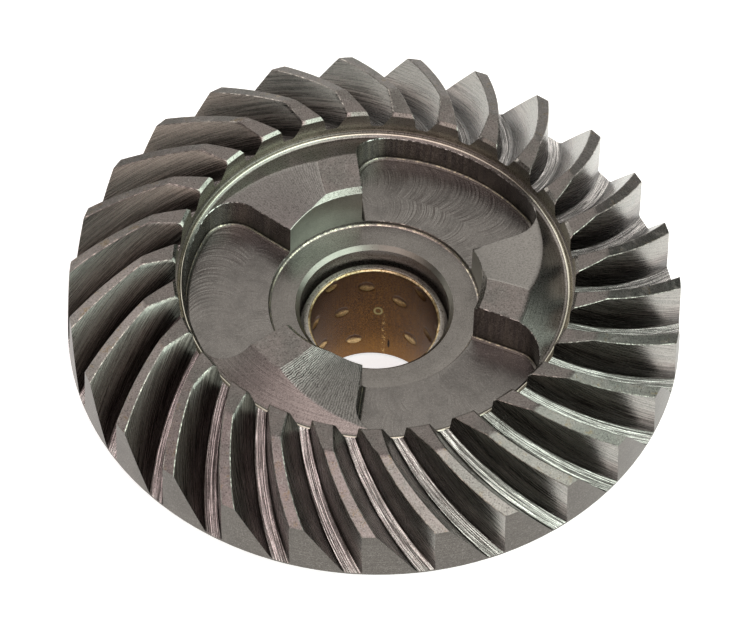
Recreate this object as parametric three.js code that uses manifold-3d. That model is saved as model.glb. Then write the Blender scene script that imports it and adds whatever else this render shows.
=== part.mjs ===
// A spiral bevel gear with three clutch dogs on its face and a wrapped
// bimetal bush pressed into its hub.
//
// Millimetres. The gear axis is Z, the teeth face +Z, and the hub end stands on Z = 0.
// Angles are in degrees, counted from +X towards +Y.

import * as THREE from 'three';
import { mergeVertices } from 'three/addons/utils/BufferGeometryUtils.js';
import Module from 'manifold-3d';

const wasm = await Module();
wasm.setup();

// ---- Tooth system ----
const TEETH = 27;
const HEEL_RADIUS = 60;
const HEEL_HEIGHT = 26.5;       // height of the root circle at the heel
const ROOT_SLOPE = 33.8;        // fall of the root cone, from horizontal
const HEEL_TIP_RADIUS = 59.66;
const HEEL_TIP_HEIGHT = 37.65;
const FACE_RADIUS = 45.33;      // where the face cone meets the flat toe cut
const FACE_HEIGHT = 44.4;
const TOE_RADIUS = 38.8;
const TOE_CHAMFER = 0.6;
const TIP_AZIMUTH = 3.65;       // middle of one top land at the heel
const SPIRAL_RATE = 0.651;      // azimuth gained per millimetre of cone distance
const ROOT_SHIFT = -0.35;       // azimuth of the tooth root against its tip
const ROOT_GAP = 3.5;           // width of the gap floor, in degrees
const TIP_HALF_WIDTH = 1.33;    // half of the top land, in degrees
const ROOT_FILLET = 0.7;

// ---- Hub and back ----
const HUB_CHAMFER = 1;
const JOURNAL_RADIUS = 22.5;
const UNDERCUT_DEPTH = 0.4;      // relief in the shoulder, around the foot of the journal
const UNDERCUT_WIDTH = 1.0;
const SHOULDER_HEIGHT = 18;
const SHOULDER_RADIUS = 26;
const BACK_FACE_HEIGHT = 21.5;
const BACK_FACE_RADIUS = 54;
const HEEL_LAND = 0.4;

// ---- Dogs, pockets and the middle of the face ----
const DOGS = 3;
const PLATEAU_HEIGHT = 42.7;
const PLATEAU_RADIUS = 30;
const DOG_BORE_RADIUS = 20.7;
const DOG_CHAMFER = 1.0;
const CONE_FOOT_RADIUS = 36.3;
const CONE_FOOT_HEIGHT = 39.4;
const RIM_RADIUS = 37.8;
const RIM_HEIGHT = 39.6;
const RIM_HALF_WIDTH = 0.65;
const DRIVE_FACE_AZIMUTH = 98.4;
const LOW_END_AZIMUTH = 144.6;
const RAMP_DROP = 2.65;
const RIDGE_AZIMUTH = 118.4;    // where the ramp starts at the inner edge of the dog
const RIDGE_SKEW = -0.5;        // turn of the ridge line per millimetre of radius
const POCKET_FLOOR_HEIGHT = 33;
const POCKET_RADIUS = 37;
const POCKET_CORNER_RADIUS = 6;
const RING_HEIGHT = 32;
const RING_RADIUS = 20.4;
const RING_CHAMFER_RADIUS = 15.5;

// ---- Bush and its seat ----
const COUNTERBORE_RADIUS = 14.7;
const COUNTERBORE_HEIGHT = 25.7;
const BUSH_RADIUS = 14;
const BUSH_BORE_RADIUS = 12.5;
const BUSH_BOTTOM = 0.5;
const BUSH_TOP = 27.7;
const LINING_THICKNESS = 0.4;
const LINING_RECESS = 0.25;     // the lining ends this far inside the shell's ends
const BOND_GAP = 0.1;           // drawn between the lining and the shell
const SEAT_GAP = 0.3;           // drawn between the bush and its seat

const SEGMENTS = 72;
const CLEAR_ABOVE = 52;         // cutters reach up to here
const STEEL = { color: 0x6f6a68, metalness: 0.9, roughness: 0.4 };
const SHELL_STEEL = { color: 0x77787a, metalness: 0.9, roughness: 0.5 };
const BRONZE = { color: 0x8a5a2b, metalness: 0.9, roughness: 0.45 };

const radians = THREE.MathUtils.degToRad;
const lerp = THREE.MathUtils.lerp;

// ---- Solids ----

function solidOf(geometry) {
  const bare = geometry.index ? geometry.toNonIndexed() : geometry.clone();
  bare.deleteAttribute('normal');
  bare.deleteAttribute('uv');
  const merged = mergeVertices(bare, 1e-4);
  return new wasm.Manifold(new wasm.Mesh({
    numProp: 3,
    vertProperties: merged.attributes.position.array,
    triVerts: merged.index.array,
  }));
}

function geometryOf(solid) {
  const { vertProperties, triVerts } = solid.getMesh();
  const geometry = new THREE.BufferGeometry();
  geometry.setAttribute('position', new THREE.BufferAttribute(vertProperties, 3));
  geometry.setIndex(new THREE.BufferAttribute(triVerts, 1));
  return geometry;
}

// Turns a closed outline of [radius, height] points about the Z axis.
function turned(outline) {
  const points = [...outline, outline[0]].map(([radius, height]) => new THREE.Vector2(radius, height));
  return new THREE.LatheGeometry(points, SEGMENTS).rotateX(Math.PI / 2);
}

// A block whose unit coordinates are bent into place by a function of (u, v, w), each -1 to 1.
function bentBlock(segments, place) {
  const geometry = new THREE.BoxGeometry(2, 2, 2, ...segments);
  const position = geometry.attributes.position;
  for (let i = 0; i < position.count; i += 1) {
    const point = place(position.getX(i), position.getY(i), position.getZ(i));
    position.setXYZ(i, point.x, point.y, point.z);
  }
  return geometry;
}

function polar(radius, azimuth, height) {
  const angle = radians(azimuth);
  return new THREE.Vector3(radius * Math.cos(angle), radius * Math.sin(angle), height);
}

// ---- Cone frame: distance along the root cone from its apex, and height square to it ----

const ROOT_COS = Math.cos(radians(ROOT_SLOPE));
const ROOT_SIN = Math.sin(radians(ROOT_SLOPE));
const APEX_HEIGHT = HEEL_HEIGHT + HEEL_RADIUS * ROOT_SIN / ROOT_COS;

function toCone(radius, height) {
  const drop = APEX_HEIGHT - height;
  return {
    distance: radius * ROOT_COS + drop * ROOT_SIN,
    rise: radius * ROOT_SIN - drop * ROOT_COS,
  };
}

const HEEL_TIP = toCone(HEEL_TIP_RADIUS, HEEL_TIP_HEIGHT);
const FACE_TIP = toCone(FACE_RADIUS, FACE_HEIGHT);

function toothDepth(distance) {
  const t = (distance - FACE_TIP.distance) / (HEEL_TIP.distance - FACE_TIP.distance);
  return lerp(FACE_TIP.rise, HEEL_TIP.rise, t);
}

// A point in a gap: across is -1 to 1 between its flanks, depth is 0 at its floor and 1 at the tips.
function gapPoint(distance, across, depth, lift) {
  const rise = depth * toothDepth(distance) + lift;
  const halfPitch = 180 / TEETH;
  const halfFloor = ROOT_GAP / 2;
  const halfMouth = halfPitch - TIP_HALF_WIDTH;
  const middle = TIP_AZIMUTH + halfPitch + SPIRAL_RATE * (distance - HEEL_TIP.distance);
  const azimuth = middle + ROOT_SHIFT * (1 - depth) + across * lerp(halfFloor, halfMouth, depth);
  const radius = distance * ROOT_COS + rise * ROOT_SIN;
  return polar(radius, azimuth, APEX_HEIGHT - distance * ROOT_SIN + rise * ROOT_COS);
}

// The cutter of one gap, past the heel, the toe and the tips, with its two root corners eased.
function gapCutter() {
  const inner = toCone(TOE_RADIUS, FACE_HEIGHT).distance - 4;
  const outer = toCone(HEEL_RADIUS, HEEL_HEIGHT).distance + 1;
  const topDepth = 1.25;
  return solidOf(bentBlock([7, 3, 1], (u, v, w) => {
    const distance = lerp(inner, outer, (u + 1) / 2);
    const depth = w < 0 ? 0 : topDepth;
    const atCorner = Math.abs(v) > 0.9;
    const across = atCorner ? Math.sign(v) : Math.sign(v) * 0.62;
    const lift = w < 0 && atCorner ? ROOT_FILLET : 0;
    return gapPoint(distance, across, depth, lift);
  }));
}

// ---- Gear blank ----

function hubOutline() {
  const seat = BUSH_RADIUS + SEAT_GAP;
  return [
    [seat + HUB_CHAMFER, 0],
    [JOURNAL_RADIUS - HUB_CHAMFER, 0],
    [JOURNAL_RADIUS, HUB_CHAMFER],
    [JOURNAL_RADIUS, SHOULDER_HEIGHT + UNDERCUT_DEPTH],
    [JOURNAL_RADIUS + UNDERCUT_WIDTH - UNDERCUT_DEPTH, SHOULDER_HEIGHT + UNDERCUT_DEPTH],
    [JOURNAL_RADIUS + UNDERCUT_WIDTH, SHOULDER_HEIGHT],
    [SHOULDER_RADIUS, SHOULDER_HEIGHT],
    [SHOULDER_RADIUS, BACK_FACE_HEIGHT],
    [BACK_FACE_RADIUS, BACK_FACE_HEIGHT],
  ];
}

function toothRingOutline() {
  return [
    [HEEL_RADIUS, HEEL_HEIGHT - HEEL_LAND],
    [HEEL_RADIUS, HEEL_HEIGHT],
    [HEEL_TIP_RADIUS, HEEL_TIP_HEIGHT],
    [FACE_RADIUS, FACE_HEIGHT],
    [TOE_RADIUS + TOE_CHAMFER, FACE_HEIGHT],
    [TOE_RADIUS, FACE_HEIGHT - TOE_CHAMFER],
    [TOE_RADIUS, RIM_HEIGHT - RIM_HALF_WIDTH / 2],
  ];
}

function faceOutline() {
  const seat = BUSH_RADIUS + SEAT_GAP;
  const ringBevel = RING_CHAMFER_RADIUS - COUNTERBORE_RADIUS;
  return [
    [RIM_RADIUS + RIM_HALF_WIDTH, RIM_HEIGHT - RIM_HALF_WIDTH / 2],
    [RIM_RADIUS, RIM_HEIGHT],
    [RIM_RADIUS - RIM_HALF_WIDTH, RIM_HEIGHT - RIM_HALF_WIDTH / 2],
    [CONE_FOOT_RADIUS + 0.5, CONE_FOOT_HEIGHT - 0.4],
    [CONE_FOOT_RADIUS, CONE_FOOT_HEIGHT],
    [PLATEAU_RADIUS, PLATEAU_HEIGHT],
    [DOG_BORE_RADIUS + DOG_CHAMFER, PLATEAU_HEIGHT],
    [DOG_BORE_RADIUS, PLATEAU_HEIGHT - DOG_CHAMFER],
    [DOG_BORE_RADIUS, POCKET_FLOOR_HEIGHT],
    [RING_RADIUS, RING_HEIGHT],
    [RING_CHAMFER_RADIUS, RING_HEIGHT],
    [COUNTERBORE_RADIUS, RING_HEIGHT - ringBevel],
    [COUNTERBORE_RADIUS, COUNTERBORE_HEIGHT],
    [seat, COUNTERBORE_HEIGHT],
    [seat, HUB_CHAMFER],
  ];
}

// ---- Pockets between the dogs ----

// Seen from above: two radial sides, an outer wall round the axis, and two rounded corners.
function pocketShape() {
  const inner = DOG_BORE_RADIUS - 2;
  const cornerRing = POCKET_RADIUS - POCKET_CORNER_RADIUS;
  const cornerAngle = Math.asin(POCKET_CORNER_RADIUS / cornerRing);
  const reach = cornerRing * Math.cos(cornerAngle);
  const start = radians(LOW_END_AZIMUTH);
  const end = radians(DRIVE_FACE_AZIMUTH + 360 / DOGS);
  const startCorner = start + cornerAngle;
  const endCorner = end - cornerAngle;
  const shape = new THREE.Shape();
  shape.moveTo(inner * Math.cos(start), inner * Math.sin(start));
  shape.lineTo(reach * Math.cos(start), reach * Math.sin(start));
  shape.absarc(
    cornerRing * Math.cos(startCorner), cornerRing * Math.sin(startCorner),
    POCKET_CORNER_RADIUS, start - Math.PI / 2, startCorner, false,
  );
  shape.absarc(0, 0, POCKET_RADIUS, startCorner, endCorner, false);
  shape.absarc(
    cornerRing * Math.cos(endCorner), cornerRing * Math.sin(endCorner),
    POCKET_CORNER_RADIUS, endCorner, end + Math.PI / 2, false,
  );
  shape.lineTo(inner * Math.cos(end), inner * Math.sin(end));
  shape.absarc(0, 0, inner, end, start, true);
  return shape;
}

function pocketCutter() {
  const geometry = new THREE.ExtrudeGeometry(pocketShape(), {
    depth: CLEAR_ABOVE - POCKET_FLOOR_HEIGHT,
    bevelEnabled: false,
    curveSegments: 8,
  });
  return solidOf(geometry.translate(0, 0, POCKET_FLOOR_HEIGHT));
}

// The cutter of one dog's ramp, which falls from the ridge line to the dog's low end.
function rampCutter() {
  const inner = DOG_BORE_RADIUS - 1;
  const outer = RIM_RADIUS - RIM_HALF_WIDTH;
  const overrun = 0.06;
  return solidOf(bentBlock([3, 6, 1], (u, v, w) => {
    const radius = lerp(inner, outer, (u + 1) / 2);
    const along = lerp(-overrun, 1 + overrun, (v + 1) / 2);
    const ridge = RIDGE_AZIMUTH + RIDGE_SKEW * (radius - DOG_BORE_RADIUS);
    const azimuth = lerp(ridge, LOW_END_AZIMUTH, along);
    const height = w < 0 ? PLATEAU_HEIGHT - RAMP_DROP * along : CLEAR_ABOVE;
    return polar(radius, azimuth, height);
  }));
}

function repeated(solid, count) {
  const step = 360 / count;
  return Array.from({ length: count }, (_, i) => solid.rotate([0, 0, i * step]));
}

// ---- Pieces ----

function gearBody() {
  const blank = solidOf(turned([...hubOutline(), ...toothRingOutline(), ...faceOutline()]));
  const cutters = [
    ...repeated(gapCutter(), TEETH),
    ...repeated(pocketCutter(), DOGS),
    ...repeated(rampCutter(), DOGS),
  ];
  return geometryOf(cutters.reduce((body, cutter) => body.subtract(cutter), blank));
}

function bushShell() {
  const inner = BUSH_BORE_RADIUS + LINING_THICKNESS + BOND_GAP;
  const bevel = 0.4;
  return turned([
    [inner, BUSH_BOTTOM],
    [BUSH_RADIUS - bevel, BUSH_BOTTOM],
    [BUSH_RADIUS, BUSH_BOTTOM + bevel],
    [BUSH_RADIUS, BUSH_TOP - bevel],
    [BUSH_RADIUS - bevel, BUSH_TOP],
    [inner, BUSH_TOP],
  ]);
}

function bushLining() {
  const outer = BUSH_BORE_RADIUS + LINING_THICKNESS;
  const bevel = LINING_THICKNESS / 2;
  const bottom = BUSH_BOTTOM + LINING_RECESS;
  const top = BUSH_TOP - LINING_RECESS;
  return turned([
    [BUSH_BORE_RADIUS + bevel, bottom],
    [outer, bottom],
    [outer, top],
    [BUSH_BORE_RADIUS + bevel, top],
    [BUSH_BORE_RADIUS, top - 2 * bevel],
    [BUSH_BORE_RADIUS, bottom + 2 * bevel],
  ]);
}

function piece(name, geometry, finish) {
  const mesh = new THREE.Mesh(geometry, new THREE.MeshStandardMaterial(finish));
  mesh.name = name;
  return mesh;
}

const gear = new THREE.Group();
gear.add(piece('gear_body', gearBody(), STEEL));
gear.add(piece('bush_shell', bushShell(), SHELL_STEEL));
gear.add(piece('bush_lining', bushLining(), BRONZE));

export default gear;
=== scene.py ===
"""Looks of the spiral bevel gear with clutch dogs and its wrapped bimetal bush.

Lengths are millimetres and angles degrees until a mesh is made, which is in metres.
"""

from math import acos, asin, atan2, cos, degrees, dist, exp, hypot, pi, radians, sin, sqrt

import bmesh
import bpy
from mathutils import Matrix, Vector


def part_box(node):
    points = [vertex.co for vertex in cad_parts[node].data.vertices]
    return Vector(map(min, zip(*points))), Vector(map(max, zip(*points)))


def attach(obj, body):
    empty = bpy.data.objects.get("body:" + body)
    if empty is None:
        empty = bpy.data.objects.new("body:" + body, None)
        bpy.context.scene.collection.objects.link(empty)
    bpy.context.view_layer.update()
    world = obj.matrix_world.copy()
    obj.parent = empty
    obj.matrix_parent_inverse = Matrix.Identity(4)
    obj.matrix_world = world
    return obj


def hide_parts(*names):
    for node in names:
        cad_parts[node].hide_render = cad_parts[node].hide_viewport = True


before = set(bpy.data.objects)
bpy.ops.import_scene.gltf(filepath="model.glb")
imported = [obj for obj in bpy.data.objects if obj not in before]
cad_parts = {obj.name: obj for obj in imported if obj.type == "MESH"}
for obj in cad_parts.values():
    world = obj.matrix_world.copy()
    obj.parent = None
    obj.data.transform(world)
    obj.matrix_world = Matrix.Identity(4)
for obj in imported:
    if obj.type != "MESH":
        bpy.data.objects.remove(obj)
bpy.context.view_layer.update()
MM = 0.001

# ---- Sizes read from the frame ----
GEAR_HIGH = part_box("gear_body")[1] / MM
SHELL_LOW, SHELL_HIGH = (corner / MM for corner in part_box("bush_shell"))
LINING_LOW, LINING_HIGH = (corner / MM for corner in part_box("bush_lining"))
HEEL_RADIUS = GEAR_HIGH.x
FACE_HEIGHT = GEAR_HIGH.z  # flat top of the teeth at their toes
BUSH_RADIUS = SHELL_HIGH.x
LINING_RADIUS = LINING_HIGH.x

# ---- Tooth system ----
TEETH = 27
HEEL_HEIGHT = 26.5  # lower edge of the heel face
ROOT_SLOPE = radians(33.8)
HEEL_TIP_RADIUS = 59.66
HEEL_TIP_HEIGHT = 37.65
FACE_RADIUS = 45.33
TOE_RADIUS = 38.8
TOE_CHAMFER = 0.6
TIP_AZIMUTH = 3.65  # middle of one tooth's top, at its heel
SPIRAL_RATE = 0.651  # degrees per millimetre along the root cone
ROOT_SHIFT = -0.35  # degrees between a tooth's foot and its top
HALF_FLOOR = 1.75  # half of a gap's floor, in degrees
TIP_HALF_WIDTH = 1.33  # half of a tooth's top, in degrees
HALF_PITCH = 180 / TEETH
ROOT_FILLET = 0.7
FLANK_LEAN = radians(22.4)  # flank against the normal of the gap floor
HEEL_LAND = 0.4  # plain band under the heel face

# ---- Hub and back ----
HUB_CHAMFER = 1.0
JOURNAL_RADIUS = 22.5
UNDERCUT_DEPTH = 0.4  # relief in the shoulder, around the foot of the journal
UNDERCUT_WIDTH = 1.0
SHOULDER_HEIGHT = 18.0
SHOULDER_RADIUS = 26.0
BACK_FACE_HEIGHT = 21.5
BACK_FACE_RADIUS = 54.0
SHOULDER_BREAK = 0.3
BACK_FILLET = 0.8  # between the shoulder's side and the back face

# ---- Dogs, pockets and the middle of the face ----
DOGS = 3
DOG_PITCH = 360 / DOGS
PLATEAU_HEIGHT = 42.7
PLATEAU_RADIUS = 30.0
DOG_BORE_RADIUS = 20.7
DOG_CHAMFER = 1.0
CONE_SLOPE = 0.524  # fall of the dogs' outer cone per millimetre of radius
RIM_RADIUS = 37.75  # the bead between the groove and the teeth
RIM_HALF_WIDTH = 0.75
RIM_RISE = 0.55
GROOVE_HEIGHT = 39.05
DRIVE_AZIMUTH = 98.4
LOW_END_AZIMUTH = 144.6
RAMP_DROP = 2.65
RIDGE_AZIMUTH = 118.4
RIDGE_SKEW = -0.5  # degrees per millimetre of radius
RAMP_STROKES = 34
POCKET_FLOOR = 33.0
POCKET_RADIUS = 37.0
CORNER_RADIUS = 6.0
FLOOR_FILLET = 0.8
RING_HEIGHT = 32.0
RING_RADIUS = 20.1
RING_CHAMFER_RADIUS = 15.5
COUNTERBORE_RADIUS = 14.7
COUNTERBORE_HEIGHT = 25.7
COUNTERBORE_FILLET = 0.4
SEAT_RADIUS = BUSH_RADIUS + 0.02
EDGE = 0.12  # break on every machined edge


def lerp(a, b, t):
    return a + (b - a) * t


def polar(radius, azimuth, height):
    angle = radians(azimuth)
    return (radius * cos(angle), radius * sin(angle), height)


def turned_by(point, azimuth):
    angle = radians(azimuth)
    c, s = cos(angle), sin(angle)
    return (point[0] * c - point[1] * s, point[0] * s + point[1] * c, point[2])


def turned(points, azimuth):
    return [turned_by(p, azimuth) for p in points]


def azimuth_of(point):
    return degrees(atan2(point[1], point[0]))


def spread(start, end, count):
    return [lerp(start, end, i / count) for i in range(count + 1)]


def closed(rows):
    return [list(row) + [row[0]] for row in rows]


def near(radius, height, *steps):
    """Points of an outline, each given by its step from a corner."""
    return [(radius + out, height + up) for out, up in steps]


class Skin:
    """Faces with their surface kinds, welded into one closed mesh at the end."""

    def __init__(self, kinds):
        self.kinds = kinds
        self.points = []
        self.faces = []
        self.face_kinds = []

    def face(self, points, kind):
        first = len(self.points)
        self.points.extend(points)
        self.faces.append(range(first, first + len(points)))
        self.face_kinds.append(self.kinds.index(kind))

    def grid(self, rows, kind, turn=0):
        """Quads between neighbouring rows, turned about the axis by that many degrees.

        kind is a name, or a function of (row, column).
        """
        width = len(rows[0])
        first = len(self.points)
        for row in rows:
            self.points.extend(turned(row, turn))
        for i in range(len(rows) - 1):
            for j in range(width - 1):
                corner = first + i * width + j
                self.faces.append((corner, corner + 1, corner + width + 1, corner + width))
                name = kind(i, j) if callable(kind) else kind
                self.face_kinds.append(self.kinds.index(name))

    def zipper(self, ring_a, ring_b, kind):
        """Triangles between two closed rings whose points are at different azimuths."""
        a = sorted(ring_a, key=azimuth_of)
        b = sorted(ring_b, key=azimuth_of)
        angles_a = [azimuth_of(p) for p in a] + [azimuth_of(a[0]) + 360]
        angles_b = [azimuth_of(p) for p in b] + [azimuth_of(b[0]) + 360]
        i = j = 0
        while i < len(a) or j < len(b):
            p, q = a[i % len(a)], b[j % len(b)]
            if i < len(a) and (j == len(b) or angles_a[i + 1] <= angles_b[j + 1]):
                i += 1
                self.face([p, a[i % len(a)], q], kind)
            else:
                j += 1
                self.face([p, b[j % len(b)], q], kind)

    def mesh(self, name, weld=0.004):
        """weld is the distance in millimetres below which points become one."""
        mesh = bpy.data.meshes.new(name)
        mesh.from_pydata([Vector(p) * MM for p in self.points], [], self.faces)
        mesh.polygons.foreach_set("material_index", self.face_kinds)
        shape = bmesh.new()
        shape.from_mesh(mesh)
        bmesh.ops.remove_doubles(shape, verts=shape.verts, dist=weld * MM)
        bmesh.ops.dissolve_degenerate(shape, edges=shape.edges, dist=weld * MM)
        bmesh.ops.recalc_face_normals(shape, faces=shape.faces)
        shape.to_mesh(mesh)
        shape.free()
        return mesh


# ---- Cone frame: distance along the root cone from its apex, and rise square to it ----

ROOT_COS = cos(ROOT_SLOPE)
ROOT_SIN = sin(ROOT_SLOPE)
APEX_HEIGHT = HEEL_HEIGHT + HEEL_RADIUS * ROOT_SIN / ROOT_COS
HEEL_LEAN = (HEEL_RADIUS - HEEL_TIP_RADIUS) / (HEEL_TIP_HEIGHT - HEEL_HEIGHT)


def to_cone(radius, height):
    drop = APEX_HEIGHT - height
    return radius * ROOT_COS + drop * ROOT_SIN, radius * ROOT_SIN - drop * ROOT_COS


def from_cone(distance, rise):
    radius = distance * ROOT_COS + rise * ROOT_SIN
    return radius, APEX_HEIGHT - distance * ROOT_SIN + rise * ROOT_COS


HEEL_TIP = to_cone(HEEL_TIP_RADIUS, HEEL_TIP_HEIGHT)
FACE_TIP = to_cone(FACE_RADIUS, FACE_HEIGHT)


def tooth_depth(distance):
    t = (distance - FACE_TIP[0]) / (HEEL_TIP[0] - FACE_TIP[0])
    return lerp(FACE_TIP[1], HEEL_TIP[1], t)


def flank_offset(distance, rise):
    """Half of the gap's width at that rise, in degrees."""
    depth = rise / tooth_depth(distance)
    return lerp(HALF_FLOOR, HALF_PITCH - TIP_HALF_WIDTH, depth)


def tooth_point(distance, rise, side, offset):
    """offset is in degrees from the middle of the gap on that side of the tooth, towards it."""
    radius, height = from_cone(distance, rise)
    depth = rise / tooth_depth(distance)
    middle = TIP_AZIMUTH + SPIRAL_RATE * (distance - HEEL_TIP[0]) + ROOT_SHIFT * (1 - depth)
    return polar(radius, middle + side * (HALF_PITCH - offset), height)


def toe_distance(rise):
    return (TOE_RADIUS - rise * ROOT_SIN) / ROOT_COS


def heel_distance(rise):
    height = APEX_HEIGHT - HEEL_HEIGHT + rise * ROOT_COS
    return (HEEL_RADIUS - HEEL_LEAN * height - rise * ROOT_SIN) / (ROOT_COS - HEEL_LEAN * ROOT_SIN)


# ---- Teeth ----

TOE_COLUMNS = 8
FACE_COLUMNS = 26
FLOOR_ROWS = 4
FILLET_ROWS = 4
FLANK_ROWS = 8
LAND_ROWS = 4
FILLET_TOP = ROOT_FILLET * (1 - sin(FLANK_LEAN))
TOE_FOOT, FACE_FOOT = 0.012, 0.15  # shares of the root under the toe and the end of the flat


def tooth_columns():
    """For each column, its share of the way along the root and its point on the tooth's top."""
    columns = [(0, (TOE_RADIUS, FACE_HEIGHT - TOE_CHAMFER))]
    for i in range(TOE_COLUMNS):
        t = i / TOE_COLUMNS
        radius = lerp(TOE_RADIUS + TOE_CHAMFER, FACE_RADIUS, t)
        columns.append((lerp(TOE_FOOT, FACE_FOOT, t), (radius, FACE_HEIGHT)))
    for i in range(FACE_COLUMNS + 1):
        t = i / FACE_COLUMNS
        radius = lerp(FACE_RADIUS, HEEL_TIP_RADIUS, t)
        height = lerp(FACE_HEIGHT, HEEL_TIP_HEIGHT, t)
        columns.append((lerp(FACE_FOOT, 1, t), (radius, height)))
    return columns


def half_section(share, top, side):
    """One column of points from the middle of the gap floor up to the edge of the tooth's top."""
    def at(rise, inset):
        distance = lerp(toe_distance(rise), heel_distance(rise), share)
        return distance, flank_offset(distance, max(rise, FILLET_TOP)) - inset

    points = []
    foot = ROOT_FILLET * cos(FLANK_LEAN)
    for i in range(FLOOR_ROWS):
        distance, edge = at(0, 0)
        edge -= degrees(foot / (distance * ROOT_COS))
        points.append(tooth_point(distance, 0, side, edge * i / FLOOR_ROWS))
    for i in range(FILLET_ROWS + 1):
        turn = lerp(pi / 2, FLANK_LEAN, i / FILLET_ROWS)
        rise = ROOT_FILLET * (1 - sin(turn))
        distance, edge = at(rise, 0)
        edge -= degrees((foot - ROOT_FILLET * cos(turn)) / (distance * ROOT_COS))
        points.append(tooth_point(distance, rise, side, edge))
    low = from_cone(at(FILLET_TOP, 0)[0], FILLET_TOP)
    length = dist(low, top)
    for i in range(1, FLANK_ROWS + 1):
        t = i / FLANK_ROWS * (1 - EDGE / length)
        distance, rise = to_cone(lerp(low[0], top[0], t), lerp(low[1], top[1], t))
        points.append(tooth_point(distance, rise, side, flank_offset(distance, rise)))
    return points


def top_land(top):
    """Points across the top of the tooth, from its -azimuth edge to its +azimuth edge."""
    distance, rise = to_cone(*top)
    middle = tooth_point(distance, rise, 1, HALF_PITCH)
    half = HALF_PITCH - flank_offset(distance, rise) - degrees(EDGE / top[0])
    return [turned_by(middle, lerp(-half, half, i / LAND_ROWS)) for i in range(LAND_ROWS + 1)]


SIDE_ROWS = FLOOR_ROWS + FILLET_ROWS + 1 + FLANK_ROWS


def tooth_kind(row):
    """Surface of the strip that starts at a row, counted across the whole tooth."""
    last = 2 * SIDE_ROWS + LAND_ROWS
    from_side = min(row, last - 1 - row)
    if from_side < FLOOR_ROWS + 1:
        return "root"
    if from_side < SIDE_ROWS - 1:
        return "flank"
    if from_side == SIDE_ROWS - 1:
        return "edge"
    return "land"


def cap(column, radius_at, below):
    """Rows that close one end of a tooth, and the two rows of the wall under it."""
    left, right = column[:SIDE_ROWS], column[-SIDE_ROWS:][::-1]
    land = column[SIDE_ROWS:-SIDE_ROWS]
    shares = [i / LAND_ROWS for i in range(LAND_ROWS + 1)]
    rungs = []
    for a, b in zip(left[FLOOR_ROWS:], right[FLOOR_ROWS:]):
        start, end, height = azimuth_of(a), azimuth_of(b), a[2]
        end += 360 * round((start - end) / 360)
        rung = [polar(radius_at(height), lerp(start, end, t), height) for t in shares]
        rung[0], rung[-1] = a, b
        rungs.append(rung)
    rungs.append(land)
    rim = left[:FLOOR_ROWS] + rungs[0] + right[:FLOOR_ROWS][::-1]
    lower = [polar(radius_at(below), azimuth_of(p), below) for p in rim]
    return rungs, [rim, lower]


def build_teeth(skin):
    """Adds every tooth with its half gaps. Returns the rings below the toes and the heels."""
    columns = []
    for share, top in tooth_columns():
        minus = half_section(share, top, -1)
        plus = half_section(share, top, 1)
        columns.append(minus + top_land(top) + plus[::-1])

    def kind(column, row):
        name = tooth_kind(row)
        if name == "land" and column == 0:
            return "toe_bevel"
        if name == "land" and column <= TOE_COLUMNS:
            return "toe_flat"
        return name

    toe_end, toe_wall = cap(columns[0], lambda height: TOE_RADIUS, RIM_FOOT_HEIGHT)
    heel_end, heel_wall = cap(columns[-1], heel_radius, HEEL_HEIGHT - HEEL_LAND)
    toe_ring, heel_ring = [], []
    for k in range(TEETH):
        turn = k * 2 * HALF_PITCH
        skin.grid(columns, kind, turn)
        skin.grid(toe_end, "toe_face", turn)
        skin.grid(toe_wall, "turned", turn)
        skin.grid(heel_end, "heel_face", turn)
        skin.grid(heel_wall, "heel_face", turn)
        toe_ring += turned(toe_wall[1][:-1], turn)
        heel_ring += turned(heel_wall[1][:-1], turn)
    return toe_ring, heel_ring


def heel_radius(height):
    return HEEL_RADIUS - max(0, height - HEEL_HEIGHT) * HEEL_LEAN


# ---- Face: dogs, pockets, rim ----

RIM_FOOT_HEIGHT = GROOVE_HEIGHT + 0.1
CONE_BLEND = 0.2  # rounds the foot of the cone into the groove


def face_height(radius):
    """Turned outline of the face outside the dogs' tops: a cone, a groove and the rim bead."""
    cone = PLATEAU_HEIGHT - (radius - PLATEAU_RADIUS) * CONE_SLOPE
    away = min(abs(radius - RIM_RADIUS) / RIM_HALF_WIDTH, 1)
    bead = GROOVE_HEIGHT + RIM_RISE * (1 + cos(pi * away)) / 2
    return (cone + bead + hypot(cone - bead, CONE_BLEND)) / 2


def ridge_azimuth(radius):
    return RIDGE_AZIMUTH + RIDGE_SKEW * (radius - DOG_BORE_RADIUS)


def ramp_height(radius, azimuth):
    ridge = ridge_azimuth(radius)
    return PLATEAU_HEIGHT - RAMP_DROP * (azimuth - ridge) / (LOW_END_AZIMUTH - ridge)


CORNER_RING = POCKET_RADIUS - CORNER_RADIUS
CORNER_ANGLE = degrees(asin(CORNER_RADIUS / CORNER_RING))
SIDE_REACH = CORNER_RING * cos(radians(CORNER_ANGLE))


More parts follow.
